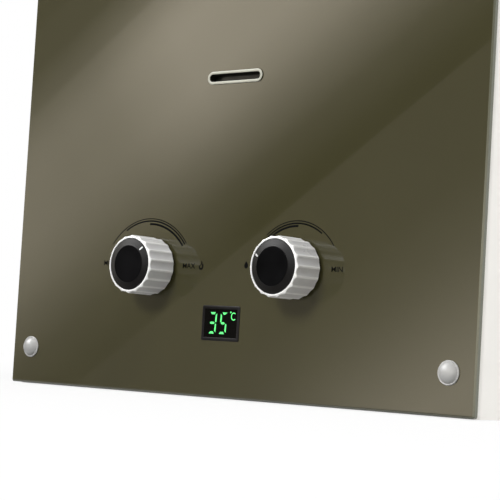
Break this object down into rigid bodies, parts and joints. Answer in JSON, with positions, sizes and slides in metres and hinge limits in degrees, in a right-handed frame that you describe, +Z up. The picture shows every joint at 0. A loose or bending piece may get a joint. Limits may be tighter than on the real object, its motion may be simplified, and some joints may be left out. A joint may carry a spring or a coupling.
{
  "type": "portable propane water heater",
  "caption": "Upright gas water heater with a gloss glass front, two fluted control knobs, a temperature display, a flue collar, a folding carry handle and threaded fittings underneath.",
  "frame": {"origin": "middle of the whole heater's footprint, on the surface it stands on", "axes": "+Z up, -Y out of the glass front, +X to the right of someone facing the front"},
  "size_m": [0.33, 0.1536, 0.476],
  "materials": {
    "front_glass": "gloss, back-painted",
    "case_paint": "satin powder coat",
    "knob_silver": "satin, bright edges",
    "knob_black": "fine matte",
    "screw_steel": "satin",
    "window_metal": "satin",
    "window_glass": "gloss",
    "display_frame": "gloss",
    "display_face": "gloss",
    "circuit_board": "matte",
    "galvanised": "galvanised",
    "stainless": "brushed",
    "burner_steel": "heat-stained",
    "cast_alloy": "die cast",
    "brass": "machined",
    "copper": "drawn copper",
    "black_plastic": "fine grain",
    "grip_rubber": "ribbed",
    "seal_rubber": "matte",
    "ceramic_white": "glazed",
    "door_plastic": "fine grain",
    "cell_wrap": "gloss",
    "red_valve": "matte",
    "foam": "foam"
  },
  "bodies": {
    "heater": {"battery_box": "black_plastic", "battery_cells": "cell_wrap", "battery_contacts": "copper", "bottom_plate": "galvanised", "bracket_screws": "screw_steel", "burner_bars": "burner_steel", "burner_tray": "burner_steel", "case_screws": "screw_steel", "cold_water_inlet": "brass", "combustion_chamber": "copper", "control_box": "black_plastic", "corner_cap_screws": "screw_steel", "corner_grommets": "seal_rubber", "cover_screws": "screw_steel", "diaphragm": "seal_rubber", "display_bezel": "display_frame", "display_lens": "display_face", "display_module": "circuit_board", "electrode_bracket": "galvanised", "exchanger_fins": "copper", "exchanger_tubes": "copper", "exhaust_hood": "stainless", "flue_collar": "stainless", "foam_tape": "foam", "front_frame": "galvanised", "gas_inlet": "brass", "gas_manifold": "cast_alloy", "gas_nozzles": "brass", "gas_solenoid": "black_plastic", "gas_valve_body": "cast_alloy", "gland_nuts": "brass", "glass_panel": "front_glass", "handle_ears": "galvanised", "heating_coil": "copper", "hot_pipe": "copper", "hot_water_outlet": "brass", "ignition_electrodes": "ceramic_white", "micro_switch": "black_plastic", "overheat_switch": "black_plastic", "rear_case": "case_paint", "return_spring": "stainless", "temperature_sensor": "black_plastic", "top_plate": "case_paint", "wall_brackets": "galvanised", "water_valve_body": "brass", "water_valve_cover": "brass", "window_bezel": "window_metal", "window_pane": "window_glass"},
    "gas_knob_set": {"gas_knob": "knob_silver", "gas_knob_cap": "knob_black", "gas_spindle": "stainless"},
    "water_knob_set": {"water_knob": "knob_silver", "water_knob_cap": "knob_black", "water_spindle": "stainless"},
    "battery_hatch": {"battery_door": "door_plastic"},
    "handle": {"carry_handle": "stainless", "handle_grip": "grip_rubber"},
    "drain_tap": {"drain_knob": "red_valve"},
    "flow_rod": {"push_rod": "stainless"},
    "flow_lever": {"switch_lever": "stainless"}
  },
  "joints": [
    {"name": "gas_knob_turn", "type": "hinge", "parent": "heater", "child": "gas_knob_set", "pos_m": [-0.0517, -0.06, 0.0715], "axis": [0, 1, 0], "range_deg": [-132, 48]},
    {"name": "water_knob_turn", "type": "hinge", "parent": "heater", "child": "water_knob_set", "pos_m": [0.0517, -0.06, 0.0715], "axis": [0, 1, 0], "range_deg": [-27, 153]},
    {"name": "battery_door_swing", "type": "hinge", "parent": "heater", "child": "battery_hatch", "pos_m": [-0.161, 0.06135, 0.0744], "axis": [0, 0, -1], "range_deg": [0, 90]},
    {"name": "handle_fold", "type": "hinge", "parent": "heater", "child": "handle", "pos_m": [0, 0.0076, 0.4566], "axis": [1, 0, 0], "range_deg": [0, 90]},
    {"name": "drain_turn", "type": "hinge", "parent": "heater", "child": "drain_tap", "pos_m": [0.046, 0.0056, 0.02], "axis": [0, 0, 1], "range_deg": [0, 90]},
    {"name": "flow_pin", "type": "slide", "parent": "heater", "child": "flow_rod", "axis": [-1, 0, 0], "range_m": [0, 0.004], "stiffness_N_per_m": 300, "springref_m": -0.002, "deforming": ["return_spring", "diaphragm"]},
    {"name": "switch_lever", "type": "hinge", "parent": "heater", "child": "flow_lever", "pos_m": [-0.006, 0.0056, 0.0865], "axis": [0, 1, 0], "range_deg": [0, 26]}
  ],
  "couplings": [
    {"joint": "switch_lever", "follows": "flow_pin", "rad_per_m": 112}
  ]
}
